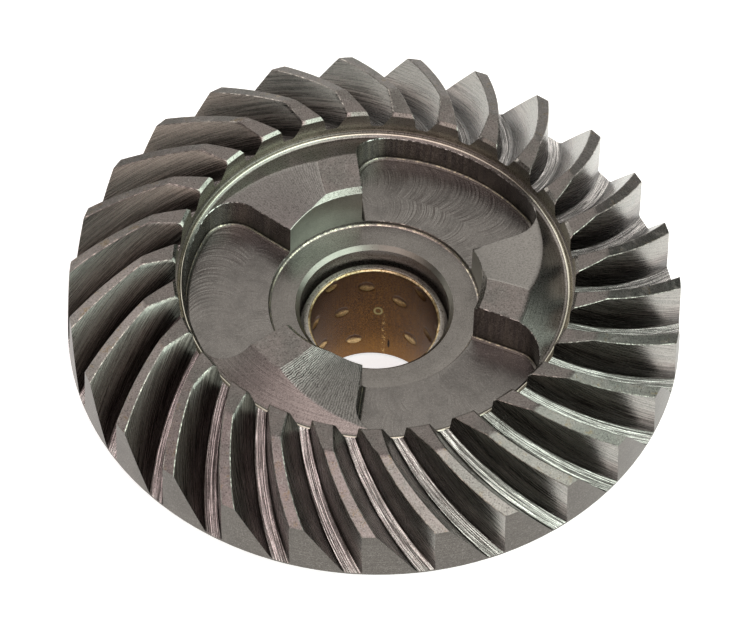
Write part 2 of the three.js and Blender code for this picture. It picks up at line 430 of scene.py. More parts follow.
class PocketEdge:
    """One side of a dog in plan: a radial side and the corner that rounds into the pocket's wall.

    facing is -1 on the drive side, which faces -azimuth, and +1 on the low end.
    """

    def __init__(self, azimuth, facing):
        self.azimuth = azimuth
        self.facing = facing
        self.centre_azimuth = azimuth + facing * CORNER_ANGLE
        self.centre = polar(CORNER_RING, self.centre_azimuth, 0)

    def place(self, radius):
        """Where on the edge that radius lies: ("side", distance) or ("corner", degrees)."""
        reach = hypot(SIDE_REACH, EDGE)
        if radius <= reach:
            return "side", sqrt(radius ** 2 - EDGE ** 2)
        corner = CORNER_RADIUS + EDGE
        cosine = (radius ** 2 - CORNER_RING ** 2 - corner ** 2) / (2 * CORNER_RING * corner)
        return "corner", degrees(acos(max(-1, min(1, cosine))))

    def point(self, place, offset, height):
        """offset is how far the point lies inside the dog, and is negative in the pocket."""
        how, value = place
        if how == "side":
            across = self.azimuth - self.facing * 90
            x, y, _ = polar(value, self.azimuth, 0)
            dx, dy, _ = polar(offset, across, 0)
            return (x + dx, y + dy, height)
        turn = self.centre_azimuth - self.facing * value
        dx, dy, _ = polar(CORNER_RADIUS + offset, turn, 0)
        return (self.centre[0] + dx, self.centre[1] + dy, height)

    def azimuth_at(self, radius):
        return azimuth_of(self.point(self.place(radius), EDGE, 0)) % 360


DRIVE = PocketEdge(DRIVE_AZIMUTH, -1)
LOW_END = PocketEdge(LOW_END_AZIMUTH, 1)
PLATEAU_COLUMNS = 10
RAMP_COLUMNS = 18
TOP_ROWS = 14
CONE_ROWS = 9
GROOVE_ROWS = 9
WALL_ROWS = 3
FILLET_STEPS = 4
ARC_POINTS = 34
RIM_ROWS = 14
RIM_EDGE = POCKET_RADIUS + EDGE
GROOVE_START = POCKET_RADIUS - 1.2
GROOVE_RING = POCKET_RADIUS + 0.35  # ring that closes the dogs' sectors
BEAD_START = POCKET_RADIUS + 0.5  # innermost of the tooth ring's rows, zipped to that ring
HALVINGS = 30


def dog_azimuth(column, radius):
    ridge = ridge_azimuth(radius)
    if column <= PLATEAU_COLUMNS:
        return lerp(DRIVE.azimuth_at(radius), ridge, column / PLATEAU_COLUMNS)
    t = (column - PLATEAU_COLUMNS) / RAMP_COLUMNS
    return lerp(ridge, LOW_END.azimuth_at(radius), t)


def dog_top(column, radius):
    if column <= PLATEAU_COLUMNS:
        return PLATEAU_HEIGHT
    return ramp_height(radius, dog_azimuth(column, radius))


def cone_start(column):
    """Radius where the dog's top meets the cone, by halving."""
    low, high = PLATEAU_RADIUS - 0.5, GROOVE_START - 0.1
    for _ in range(HALVINGS):
        middle = (low + high) / 2
        if face_height(middle) > dog_top(column, middle):
            low = middle
        else:
            high = middle
    return low


def dog_column(column):
    """Points from the top of the inner wall out to the rim."""
    inner_top = dog_top(column, DOG_BORE_RADIUS)
    bevel = max(inner_top - (PLATEAU_HEIGHT - DOG_CHAMFER), EDGE)
    start = DOG_BORE_RADIUS + bevel
    middle = cone_start(column)
    points = [(DOG_BORE_RADIUS, inner_top - bevel)]
    points += [(r, dog_top(column, r)) for r in spread(start, middle, TOP_ROWS)]
    points += [(r, face_height(r)) for r in spread(middle, GROOVE_START, CONE_ROWS)[1:]]
    for i in range(1, GROOVE_ROWS + 1):
        left = (1 - i / GROOVE_ROWS) ** 2
        radius = lerp(RIM_EDGE, GROOVE_START, left)
        points.append((radius, face_height(radius)))
    return [polar(r, dog_azimuth(column, r), z) for r, z in points]


def wall_profile(top):
    """(offset, height) from the edge of a pocket's wall down to its floor."""
    foot = POCKET_FLOOR + FLOOR_FILLET
    rows = [(0, z) for z in spread(top - EDGE, foot, WALL_ROWS)]
    for i in range(1, FILLET_STEPS + 1):
        turn = pi / 2 * i / FILLET_STEPS
        rows.append((-FLOOR_FILLET * (1 - cos(turn)), foot - FLOOR_FILLET * sin(turn)))
    return rows


def wall_kind(_, row):
    """A painted highlight runs as a bright line along the middle of the fillet at the foot of a
    wall; the fillet's other strips carry painted shade.
    """
    if row < WALL_ROWS:
        return "pocket_wall"
    return "fillet" if row == WALL_ROWS + 1 else "pocket_foot"


def side_walls(edge, column):
    """Wall points below each point of a dog's boundary column."""
    strips = []
    for point in column:
        radius = hypot(point[0], point[1])
        place = edge.place(radius)
        strips.append([edge.point(place, offset, z) for offset, z in wall_profile(point[2])])
    return strips


def build_face(skin, toe_ring):
    """Adds the dogs, pockets and rim. Returns the ring at the foot of the dogs' inner walls."""
    columns = [dog_column(c) for c in range(PLATEAU_COLUMNS + RAMP_COLUMNS + 1)]
    drive_walls = side_walls(DRIVE, columns[0])
    low_walls = side_walls(LOW_END, columns[-1])
    rim_top = face_height(RIM_EDGE)

    def dog_kind(column, row):
        if row == 0:
            return "edge_bevel"
        if row <= TOP_ROWS:
            return "plateau" if column < PLATEAU_COLUMNS else "ramp"
        return "turned"

    # Outer wall of the pocket that follows this dog, between its two corners.
    start = LOW_END.centre_azimuth
    end = DRIVE.centre_azimuth + DOG_PITCH
    arc = spread(start, end, ARC_POINTS)
    arc_edge = [polar(RIM_EDGE, a, rim_top) for a in arc]
    arc_walls = [
        [polar(POCKET_RADIUS + offset, a, z) for offset, z in wall_profile(rim_top)] for a in arc
    ]
    next_drive = [turned(strip, DOG_PITCH) for strip in drive_walls]
    next_column = turned(columns[0], DOG_PITCH)
    edges = columns[-1] + arc_edge[1:-1] + next_column[::-1]
    walls = low_walls + arc_walls[1:-1] + next_drive[::-1]

    # Inner wall of the dog: its end columns are the inner ends of the pockets' walls.
    def inner_column(point):
        azimuth = azimuth_of(point)
        return [polar(DOG_BORE_RADIUS, azimuth, z) for _, z in wall_profile(point[2] + EDGE)]

    inner = [drive_walls[0]] + [inner_column(c[0]) for c in columns] + [low_walls[0]]
    foot_height = POCKET_FLOOR - EDGE
    foot = [polar(DOG_BORE_RADIUS, azimuth_of(strip[-1]), foot_height) for strip in inner]
    inner = [strip + [low] for strip, low in zip(inner, foot)]

    # Pocket floor, with its inner arc and the break along it.
    first, last = low_walls[0][-1], next_drive[0][-1]
    floor_arc = spread(azimuth_of(first), azimuth_of(last) % 360, ARC_POINTS)[1:-1]
    floor_inner = [polar(DOG_BORE_RADIUS + EDGE, a, POCKET_FLOOR) for a in floor_arc]
    floor_foot = [polar(DOG_BORE_RADIUS, a, foot_height) for a in floor_arc]
    floor_edge = [first] + floor_inner + [last]
    floor_low = [foot[-1]] + floor_foot + [turned_by(foot[0], DOG_PITCH)]
    floor = [strip[-1] for strip in walls] + floor_inner[::-1]

    rim_ring, foot_ring = [], []
    for k in range(DOGS):
        turn = k * DOG_PITCH
        skin.grid(columns, dog_kind, turn)
        skin.grid([edges, [strip[0] for strip in walls]], "wall_edge", turn)
        skin.grid(walls, wall_kind, turn)
        skin.grid(inner, "inner_wall", turn)
        skin.face(turned(floor, turn), "pocket_floor")
        skin.grid([floor_edge, floor_low], "edge", turn)
        rim_ring += turned([c[-1] for c in columns] + arc_edge[1:-1], turn)
        foot_ring += turned(foot + floor_foot, turn)

    groove_height = face_height(GROOVE_RING)
    middle_ring = [polar(GROOVE_RING, azimuth_of(p), groove_height) for p in rim_ring]
    skin.grid(closed([rim_ring, middle_ring]), "turned")
    rows = [toe_ring]
    for radius in spread(TOE_RADIUS, BEAD_START, RIM_ROWS)[1:]:
        height = face_height(radius) if radius < TOE_RADIUS - 0.2 else RIM_FOOT_HEIGHT
        rows.append([polar(radius, azimuth_of(p), height) for p in toe_ring])
    skin.grid(closed(rows), lambda row, _: "turned" if row < 3 else "rim")
    skin.zipper(rows[-1], middle_ring, "turned")
    return foot_ring


def revolve(skin, ring, outline, kinds):
    """Turns an outline of (radius, height) points, at the azimuths of a ring, from that ring on."""
    azimuths = [azimuth_of(p) for p in ring]
    rows = [ring] + [[polar(r, a, z) for a in azimuths] for r, z in outline]
    skin.grid(closed(rows), lambda row, _: kinds[min(row, len(kinds) - 1)])
    return rows[-1]


def build_middle_and_back(skin, foot_ring, heel_ring):
    """Adds the ring face, the bore, the hub and the back, from the dogs' foot out to the heels."""
    bevel = RING_CHAMFER_RADIUS - COUNTERBORE_RADIUS
    foot = POCKET_FLOOR - EDGE
    outline = []
    for turn in spread(0, pi / 2, 5)[1:]:
        radius = lerp(DOG_BORE_RADIUS, RING_RADIUS, 1 - cos(turn))
        outline.append((radius, lerp(foot, RING_HEIGHT, sin(turn))))
    # The ring_edge strips carry a painted highlight: a bright warm line on the step down to the
    # ring.
    kinds = ["turned", "turned", "ring_edge", "ring_edge", "turned"]
    outline += [
        (lerp(RING_RADIUS, RING_CHAMFER_RADIUS, 0.5), RING_HEIGHT),
        (RING_CHAMFER_RADIUS, RING_HEIGHT),
        (COUNTERBORE_RADIUS, RING_HEIGHT - bevel),
        (COUNTERBORE_RADIUS, lerp(RING_HEIGHT - bevel, COUNTERBORE_HEIGHT, 0.5)),
    ]
    fillet = COUNTERBORE_FILLET
    steps = (0, fillet), (-0.12, 0.12), (-fillet, 0)
    outline += near(COUNTERBORE_RADIUS, COUNTERBORE_HEIGHT, *steps)
    kinds += ["ring", "ring", "chamfer"] + ["turned"] * 5
    outline += [(SEAT_RADIUS, z) for z in spread(COUNTERBORE_HEIGHT, HUB_CHAMFER, 4)]
    outline += near(SEAT_RADIUS, 0, (HUB_CHAMFER, 0))
    outline += near(JOURNAL_RADIUS - HUB_CHAMFER, 0, (0, 0), (0.1, 0.03))
    outline += near(JOURNAL_RADIUS, HUB_CHAMFER, (-0.03, -0.1), (0, 0))
    outline += [(JOURNAL_RADIUS, z) for z in spread(HUB_CHAMFER, SHOULDER_HEIGHT, 6)[1:]]
    kinds += ["journal"] * (len(outline) - len(kinds))
    steps = (0.06, -0.12), (0.2, 0), (UNDERCUT_WIDTH - UNDERCUT_DEPTH, 0)
    outline += near(JOURNAL_RADIUS, SHOULDER_HEIGHT + UNDERCUT_DEPTH, *steps)
    outline.append((JOURNAL_RADIUS + UNDERCUT_WIDTH, SHOULDER_HEIGHT))
    outline += near(SHOULDER_RADIUS, SHOULDER_HEIGHT, (-SHOULDER_BREAK, 0), (0, SHOULDER_BREAK))
    steps = (0, -BACK_FILLET), (0.23, -0.23), (BACK_FILLET, 0)
    outline += near(SHOULDER_RADIUS, BACK_FACE_HEIGHT, *steps)
    outline.append((BACK_FACE_RADIUS - 12, BACK_FACE_HEIGHT))
    kinds += ["turned"] * (len(outline) - len(kinds))
    inner = revolve(skin, foot_ring, outline, kinds)
    top = HEEL_HEIGHT - HEEL_LAND
    rise = top - BACK_FACE_HEIGHT
    run = HEEL_RADIUS - BACK_FACE_RADIUS
    back = [(lerp(HEEL_RADIUS, BACK_FACE_RADIUS, t), top - rise * t) for t in (0.03, 0.5, 0.97)]
    back += [(BACK_FACE_RADIUS - r, BACK_FACE_HEIGHT) for r in (0.1 * run, 6)]
    outer = revolve(skin, heel_ring, back, ["turned"])
    skin.zipper(inner, outer, "turned")


def build_gear(kinds):
    skin = Skin(kinds)
    toe_ring, heel_ring = build_teeth(skin)
    foot_ring = build_face(skin, toe_ring)
    build_middle_and_back(skin, foot_ring, heel_ring)
    return skin.mesh("gear_body_fine")


# ---- Bush ----

SHELL_BORE = LINING_RADIUS + 0.02
LINING_BORE = 12.5
LINING_TOP = LINING_HIGH.z
LINING_BOTTOM = LINING_LOW.z
SEAM_AZIMUTH = 81.0
SEAM_WIDTH = 0.8  # degrees
DIMPLE_DEPTH = 0.4
DIMPLE_HALF_WIDTH = 1.6
DIMPLE_HALF_HEIGHT = 1.4
SEAM_DEPTH = 0.06
STAMP_TURN = 5.5  # round mark beside the seam: degrees from it, and height
STAMP_HEIGHT = 14.7
NOTCH_TURN = -5.0  # short slot on its other side, near the bottom
NOTCH_HEIGHT = 4.6
LINING_COLUMNS = 288
LINING_ROWS = 92
LINING_BEVEL = 0.32
SHELL_COLUMNS = 144


def dimple_centres():
    """The rolled-in pattern: a slanting lattice that starts afresh on either side of the seam."""
    across, up = (36.0, 3.8), (12.7, 10.1)
    centres = []
    for start, low, high in (((27.3, 6.1), 8, 183), ((-27.1, 9.2), -177, -8)):
        for i in range(-12, 13):
            for j in range(-8, 9):
                turn = start[0] + across[0] * i + up[0] * j
                height = start[1] + across[1] * i + up[1] * j
                if low < turn < high and LINING_BOTTOM + 1.2 < height < LINING_TOP - 0.4:
                    centres.append((SEAM_AZIMUTH + turn, height))
    return centres


def lining_depth(azimuth, height, centres):
    """How deep the lining is dented there, in millimetres."""
    away = (azimuth - SEAM_AZIMUTH + 180) % 360 - 180
    depth = SEAM_DEPTH * exp(-((away / SEAM_WIDTH) ** 2))
    for centre_azimuth, centre_height in centres:
        turn = (azimuth - centre_azimuth + 180) % 360 - 180
        across = radians(turn) * LINING_BORE
        rise = height - centre_height - 0.15 * across
        reach = (across / DIMPLE_HALF_WIDTH) ** 2 + (rise / DIMPLE_HALF_HEIGHT) ** 2
        if reach < 1:
            depth += DIMPLE_DEPTH * (1 - reach) ** 0.6
    return depth


def top_wave(azimuth):
    """How far the top edge wanders there, in millimetres."""
    slow = 0.05 * sin(radians(7 * azimuth))
    return slow + 0.04 * sin(radians(17 * azimuth + 40))


def build_lining():
    skin = Skin(["bronze", "gold_edge"])
    centres = dimple_centres()
    azimuths = spread(0, 360, LINING_COLUMNS)[:-1]
    rows = []
    for z in spread(LINING_BOTTOM + LINING_BEVEL, LINING_TOP - LINING_BEVEL, LINING_ROWS):
        rows.append([polar(LINING_BORE + lining_depth(a, z, centres), a, z) for a in azimuths])
    top = [
        [polar(LINING_BORE + 0.1 + top_wave(a), a, LINING_TOP - 0.16) for a in azimuths],
        [polar(LINING_RADIUS - 0.1, a, LINING_TOP + top_wave(a) * 0.5) for a in azimuths],
        [polar(LINING_RADIUS, a, LINING_TOP - 0.02) for a in azimuths],
    ]
    bottom = [
        [polar(LINING_RADIUS, a, LINING_BOTTOM) for a in azimuths],
        [polar(LINING_BORE + LINING_BEVEL * 0.5, a, LINING_BOTTOM) for a in azimuths],
    ]
    skin.grid(closed(rows), "bronze")
    skin.grid(closed([rows[-1]] + top), "gold_edge")
    skin.grid(closed([top[-1]] + bottom + [rows[0]]), "bronze")
    return skin.mesh("bush_lining_fine", weld=0.0001)


def build_shell():
    skin = Skin(["shell"])
    top, bottom = SHELL_HIGH.z, SHELL_LOW.z
    outline = [(SHELL_BORE, LINING_TOP - 0.1)]
    outline += near(SHELL_BORE, top, (0.03, -0.03), (0.08, 0))
    outline += near(BUSH_RADIUS, top, (-0.16, 0), (-0.05, -0.06), (0, -0.25), (0, -0.9))
    outline += near(BUSH_RADIUS, bottom, (0, 0.9), (-0.3, 0))
    outline += near(SHELL_BORE, bottom, (0.2, 0), (0, 0.2))
    azimuths = spread(0, 360, SHELL_COLUMNS)[:-1]
    rows = [[polar(r, a, z) for a in azimuths] for r, z in outline]
    skin.grid(closed(rows + [rows[0]]), "shell")
    return skin.mesh("bush_shell_fine")


# ---- Materials ----

GRAIN = 3.2  # grains of the surface per millimetre


class Nodes:
    """A node tree, written as formulas."""

    def __init__(self, tree):
        self.tree = tree

    def put(self, socket, value):
        """Links a socket to a socket, or sets it to a number or colour."""
        if isinstance(value, bpy.types.NodeSocket):
            self.tree.links.new(value, socket)
        else:
            socket.default_value = value

    def add(self, kind, **settings):
        """Adds a node. A setting is a property of the node or, failing that, one of its inputs."""
        node = self.tree.nodes.new("ShaderNode" + kind)
        for name, value in settings.items():
            if hasattr(node, name):
                setattr(node, name, value)
            else:
                self.put(node.inputs[name], value)
        return node

    def math(self, operation, a, b=0):
        node = self.add("Math", operation=operation)
        self.put(node.inputs[0], a)
        self.put(node.inputs[1], b)
        return node.outputs[0]

    def plus(self, a, b):
        return self.math("ADD", a, b)

    def minus(self, a, b):
        return self.math("SUBTRACT", a, b)

    def times(self, a, b):
        return self.math("MULTIPLY", a, b)

    def absolute(self, a):
        return self.math("ABSOLUTE", a)

    def length(self, a, b):
        return self.math("SQRT", self.plus(self.times(a, a), self.times(b, b)))

    def vector_math(self, operation, a, b):
        node = self.add("VectorMath", operation=operation)
        self.put(node.inputs[0], a)
        self.put(node.inputs["Scale" if operation == "SCALE" else 1], b)
        return node.outputs["Value" if operation == "DOT_PRODUCT" else "Vector"]

    def vector(self, x, y, z=0):
        return self.add("CombineXYZ", X=x, Y=y, Z=z).outputs[0]

    def noise(self, vector, scale, detail=3, roughness=0.55):
        settings = {"Scale": scale, "Detail": detail, "Roughness": roughness}
        return self.add("TexNoise", Vector=vector, **settings).outputs["Fac"]

    def span(self, value, low, high, to_low=0, to_high=1):
        """Maps low..high to to_low..to_high, smoothly and without going past either."""
        node = self.add("MapRange", interpolation_type="SMOOTHSTEP")
        for socket, number in zip(node.inputs[:5], (value, low, high, to_low, to_high)):
            self.put(socket, number)
        return node.outputs[0]

    def mix(self, share, a, b):
        node = self.add("Mix", data_type="RGBA")
        sockets = [s for s in node.inputs if s.enabled]
        for socket, value in zip(sockets, (share, a, b)):
            self.put(socket, value)
        return [s for s in node.outputs if s.enabled][0]


class Graph(Nodes):
    """A material's nodes, with the place on the object in millimetres and degrees."""

    def __init__(self, name):
        self.material = bpy.data.materials.new(name)
        self.material.use_nodes = True
        super().__init__(self.material.node_tree)
        self.shader = self.tree.nodes["Principled BSDF"]
        metres = self.add("TexCoord").outputs["Object"]
        self.place = self.vector_math("SCALE", metres, 1 / MM)
        split = self.add("SeparateXYZ", Vector=self.place)
        self.x, self.y, self.z = split.outputs
        self.radius = self.length(self.x, self.y)
        self.azimuth = self.math("DEGREES", self.math("ARCTAN2", self.y, self.x))

    def bump(self, *layers):
        """layers are (height, depth in millimetres) and each sits on the one before."""
        normal = None
        for height, depth in layers:
            node = self.add("Bump", Height=height, Distance=depth * MM, Strength=1)
            if normal:
                self.put(node.inputs["Normal"], normal)
            normal = node.outputs[0]
        self.put(self.shader.inputs["Normal"], normal)

    def finish(self, color, roughness, metallic=1):
        self.put(self.shader.inputs["Base Color"], color)
        self.put(self.shader.inputs["Roughness"], roughness)
        self.put(self.shader.inputs["Metallic"], metallic)
        return self.material


WARM = (1, 0.91, 0.87)
PALE = (1, 0.98, 0.94)
GREENISH = (0.98, 1, 0.95)
STAIN = (0.24, 0.17, 0.085, 1)


def grey(value, tint=WARM):
    return (value * tint[0], value * tint[1], value * tint[2], 1)


def cone_place(g):
    """Distance along the root cone and rise above it, as node sockets."""
    drop = g.minus(APEX_HEIGHT, g.z)
    distance = g.plus(g.times(g.radius, ROOT_COS), g.times(drop, ROOT_SIN))
    rise = g.minus(g.times(g.radius, ROOT_SIN), g.times(drop, ROOT_COS))
    return distance, rise


def gap_place(g, distance):
    """Degrees from the middle of the nearest gap, and the number of the gap."""
    spiral = g.times(g.minus(distance, HEEL_TIP[0]), SPIRAL_RATE)
    turn = g.minus(g.azimuth, g.plus(spiral, TIP_AZIMUTH + ROOT_SHIFT))
    pitches = g.plus(g.math("DIVIDE", turn, 2 * HALF_PITCH), TEETH)
    number = g.math("MODULO", g.math("FLOOR", pitches), TEETH)
    across = g.times(g.minus(g.math("FRACT", pitches), 0.5), 2 * HALF_PITCH)
    return across, number


def dog_turn(g):
    """Degrees from the last drive face."""
    return g.math("MODULO", g.plus(g.azimuth, 720 - DRIVE_AZIMUTH), DOG_PITCH)


def stretched(g, x, y, z, scales, detail=3, roughness=0.6):
    """Noise over three sockets, each with its own scale."""
    x, y, z = (g.times(value, scale) for value, scale in zip((x, y, z), scales))
    return g.noise(g.vector(x, y, z), 1, detail, roughness)


def grained(g, color, dark=0.5, light=0.2):
    """The colour with a fine dark and light grain and a few pits."""
    grain = g.noise(g.place, GRAIN, 3, 0.9)
    color = g.mix(g.span(grain, 0.5, 0.36, 0, dark), color, grey(0.04))
    color = g.mix(g.span(grain, 0.52, 0.66, 0, light), color, grey(0.6, PALE))
    pits = g.span(g.noise(g.place, 0.9, 3, 0.8), 0.69, 0.72, 0, dark)
    return g.mix(pits, color, grey(0.03)), grain


def hair_lines(g, along, across):
    """Thin scattered scratches: 1 on a scratch and 0 off it."""
    field = stretched(g, g.x, g.y, g.z, (along, across, 1), 2, 0.55)
    line = g.span(g.absolute(g.minus(field, 0.5)), 0.022, 0)
    gate = g.span(g.noise(g.place, 0.7, 2), 0.52, 0.6)
    return g.times(line, gate)


def ground_top(name, base, stains=0):
    """Matte phosphated face with a grain, thin scratches and, if asked, brown stains."""
    g = Graph(name)
    cloud = g.noise(g.place, 0.16, 4, 0.6)
    scratch = g.plus(hair_lines(g, 0.25, 2.2), hair_lines(g, 1.6, 0.3))
    color = g.mix(g.span(cloud, 0.4, 0.65), grey(base), grey(base * 0.82, (0.97, 0.93, 0.88)))
    if stains:
        spots = g.span(g.noise(g.place, 0.35, 5, 0.8), 0.55, 0.66, 0, stains)
        color = g.mix(spots, color, STAIN)
    color, grain = grained(g, color, 0.55, 0.25)
    color = g.mix(g.times(scratch, 0.4), color, grey(0.5, PALE))
    g.bump((grain, 0.04), (scratch, -0.01))
    return g.finish(color, g.span(grain, 0.2, 0.8, 0.24, 0.4))


def bright_edge(name, base, dull_base, tint=PALE):
    """Edge strip painted lighter than the faces beside it as a painted highlight, duller in
    patches; on outer corners the light patches are rubbed wear as well.
    """
    g = Graph(name)
    worn = g.noise(g.place, 0.9, 5, 0.9)
    color = g.mix(g.span(worn, 0.46, 0.62), grey(dull_base), grey(base, tint))
    g.bump((worn, 0.05))
    return g.finish(color, g.span(worn, 0.3, 0.7, 0.42, 0.22))


def flank_steel():
    """Cut flank with fine lines along the tooth, a painted greenish sheen near its top and painted
    shade, near black, at its foot.
    """
    g = Graph("steel_flank")
    distance, rise = cone_place(g)
    across, number = gap_place(g, distance)
    slide = g.plus(g.times(number, 7.3), g.span(across, -0.5, 0.5, 0, 31))
    slant = g.plus(rise, g.times(distance, 0.1))
    lines = stretched(g, slant, distance, slide, (4.4, 0.08, 1), 2, 0.75)
    smear = stretched(g, rise, distance, slide, (0.5, 0.12, 1))
    low, high = grey(0.09, (1, 0.84, 0.76)), grey(0.35, (1, 0.88, 0.82))
    color = g.mix(g.span(lines, 0.38, 0.62), low, high)
    # Painted sheen: the upper part of the flank is mixed towards a light greenish grey.
    painted_sheen = g.span(g.plus(rise, g.times(smear, 4)), 4, 8.5, 0, 0.5)
    color = g.mix(painted_sheen, color, grey(0.42, GREENISH))
    # Painted shade: the flank darkens to near black towards its foot.
    color = g.mix(g.span(rise, 4.2, 0.8, 0, 0.8), color, grey(0.02))
    color, grain = grained(g, color, 0.4, 0.15)
    g.bump((lines, 0.03), (grain, 0.02))
    return g.finish(color, g.span(lines, 0.25, 0.75, 0.2, 0.34))


def root_steel():
    """Bright ground gap floor with grooves along it."""
    g = Graph("steel_root")
    distance, _ = cone_place(g)
    across, number = gap_place(g, distance)
    span = g.times(across, g.times(g.radius, pi / 180))
    slide = g.times(number, 5.1)
    grooves = stretched(g, span, distance, slide, (2.8, 0.02, 1), 3, 0.85)
    fine = stretched(g, span, distance, slide, (6, 0.1, 1), 2, 0.7)
    color = g.mix(g.span(grooves, 0.42, 0.54), grey(0.12), grey(0.88, (1, 0.94, 0.92)))
    color = g.mix(g.span(fine, 0.52, 0.4, 0, 0.9), color, grey(0.1))
    color, _ = grained(g, color, 0.5, 0.3)
    g.bump((grooves, 0.2), (fine, 0.08))
    return g.finish(color, g.span(fine, 0.2, 0.8, 0.34, 0.2))


def turned_steel(name, base, tint=WARM, roughness=0.24, contrast=0.28, grit=0.4):
    """Lathe-turned face: fine lines round the axis, with smudges and a grain."""
    g = Graph(name)
    along = g.plus(g.radius, g.times(g.z, 0.9))
    lines = stretched(g, along, 0, 0, (9, 1, 1), 4, 0.7)
    cloud = g.noise(g.place, 0.2, 4, 0.6)
    low, high = grey(base * (1 - contrast), tint), grey(base * (1 + contrast), tint)
    color = g.mix(g.span(lines, 0.38, 0.62), low, high)
    color = g.mix(g.span(cloud, 0.4, 0.65, 0, 0.6), color, grey(base * 0.8, tint))
    color, grain = grained(g, color, grit, grit / 2)
    g.bump((lines, 0.01), (grain, 0.02))
    return g.finish(color, g.span(grain, 0.25, 0.75, roughness, roughness + 0.1))


def ramp_steel():
    """Grinding strokes that fan from the ridge line to the low end, deepest on the front dog."""
    g = Graph("steel_ramp")
    skew = g.times(g.minus(g.radius, DOG_BORE_RADIUS), RIDGE_SKEW)
    ridge = g.plus(skew, RIDGE_AZIMUTH - DRIVE_AZIMUTH)
    length = g.minus(LOW_END_AZIMUTH - DRIVE_AZIMUTH, ridge)
    along = g.math("DIVIDE", g.minus(dog_turn(g), ridge), length)
    warp = g.times(g.noise(g.place, 0.4, 3, 0.75), 2.4)
    phase = g.plus(g.times(along, RAMP_STROKES), warp)
    wave = g.times(g.math("SINE", g.times(phase, 2 * pi)), 0.15)
    ragged = stretched(g, phase, g.radius, g.x, (1.2, 0.4, 0.4), 4, 0.9)
    front = g.span(g.y, 0, -12, 0.22, 1)
    which = g.times(g.span(g.x, 20, 14, 0.15, 1), front)
    strength = g.times(which, g.span(along, 0, 0.6, 1.1, 0.3))
    cut = g.times(g.plus(wave, g.minus(ragged, 0.5)), strength)
    color = g.mix(g.span(cut, -0.17, 0.17), grey(0.07), grey(0.54, PALE))
    # Painted highlight: a light band along the ridge line between plateau and ramp.
    color = g.mix(g.span(g.absolute(along), 0.03, 0, 0, 0.6), color, grey(0.55, PALE))
    color, grain = grained(g, color, 0.5, 0.25)
    g.bump((cut, 0.1), (grain, 0.03))
    return g.finish(color, g.span(grain, 0.2, 0.8, 0.26, 0.4))


def pocket_floor_steel():
    """Milled floor: crescents left by the cutter on an outer and an inner pass."""
    g = Graph("steel_pocket_floor")
    turn = dog_turn(g)

    def pass_marks(middle, cutter):
        off = g.minus(g.radius, middle)
        inside = g.math("MAXIMUM", g.minus(cutter ** 2, g.times(off, off)), 0)
        travel = g.times(turn, radians(1) * middle)
        front = g.plus(travel, g.math("SQRT", inside))
        return stretched(g, front, off, middle, (4.2, 0.05, 1), 1, 0.6)

    outer = pass_marks(CORNER_RING, CORNER_RADIUS + 0.6)
    inner = pass_marks(DOG_BORE_RADIUS + 3.2, CORNER_RADIUS)
    share = g.span(g.radius, 26.4, 27.6)
    rest = g.minus(1, share)
    marks = g.plus(g.times(outer, share), g.times(inner, rest))
    smudge = g.noise(g.place, 0.25, 4, 0.65)
    worn = g.span(g.noise(g.place, 0.1, 2), 0.38, 0.56, 0.1, 1)
    strength = g.times(worn, g.span(g.y, -6, 4, 0.25, 1))
    lit = g.times(g.minus(marks, 0.5), strength)
    color = g.mix(g.span(lit, -0.14, 0.14), grey(0.12), grey(0.33, PALE))
    color = g.mix(g.span(smudge, 0.42, 0.66, 0, 0.5), color, grey(0.15, (0.97, 0.94, 0.9)))
    color, grain = grained(g, color, 0.3, 0.12)
    g.bump((lit, 0.06), (grain, 0.02))
    return g.finish(color, g.span(grain, 0.2, 0.8, 0.22, 0.3))


def pocket_wall_steel():
    """Walls cut by the side of the mill: faint upright streaks."""
    g = Graph("steel_pocket_wall")
    streaks = stretched(g, dog_turn(g), g.radius, g.z, (0.7, 0.7, 0.05))
    color = g.mix(g.span(streaks, 0.38, 0.62), grey(0.13), grey(0.24, (1, 0.92, 0.8)))
    color, grain = grained(g, color, 0.85, 0.5)
    g.bump((streaks, 0.03), (grain, 0.04))
    return g.finish(color, g.span(grain, 0.2, 0.8, 0.15, 0.26))


BROWN_DARK = (0.014, 0.006, 0.0015, 1)
BROWN_LIGHT = (0.22, 0.098, 0.018, 1)
STREAK_BROWN = (0.05, 0.022, 0.01, 1)
CLOUD_BROWN = (0.1, 0.045, 0.015, 1)
DIMPLE_SHADE = (0.06, 0.025, 0.01, 1)
DIMPLE_HIGHLIGHT_GOLD = (1, 0.72, 0.36, 1)
FLOOR_END_GOLD = (0.36, 0.18, 0.05, 1)
FLECK_GOLD = (0.8, 0.53, 0.2, 1)
STAMP_GREY = (0.4, 0.36, 0.16, 1)
NOTCH_BLACK = (0.01, 0.006, 0.003, 1)
EDGE_DULL = (0.5, 0.31, 0.12, 1)
EDGE_BRIGHT = (1, 0.84, 0.54, 1)


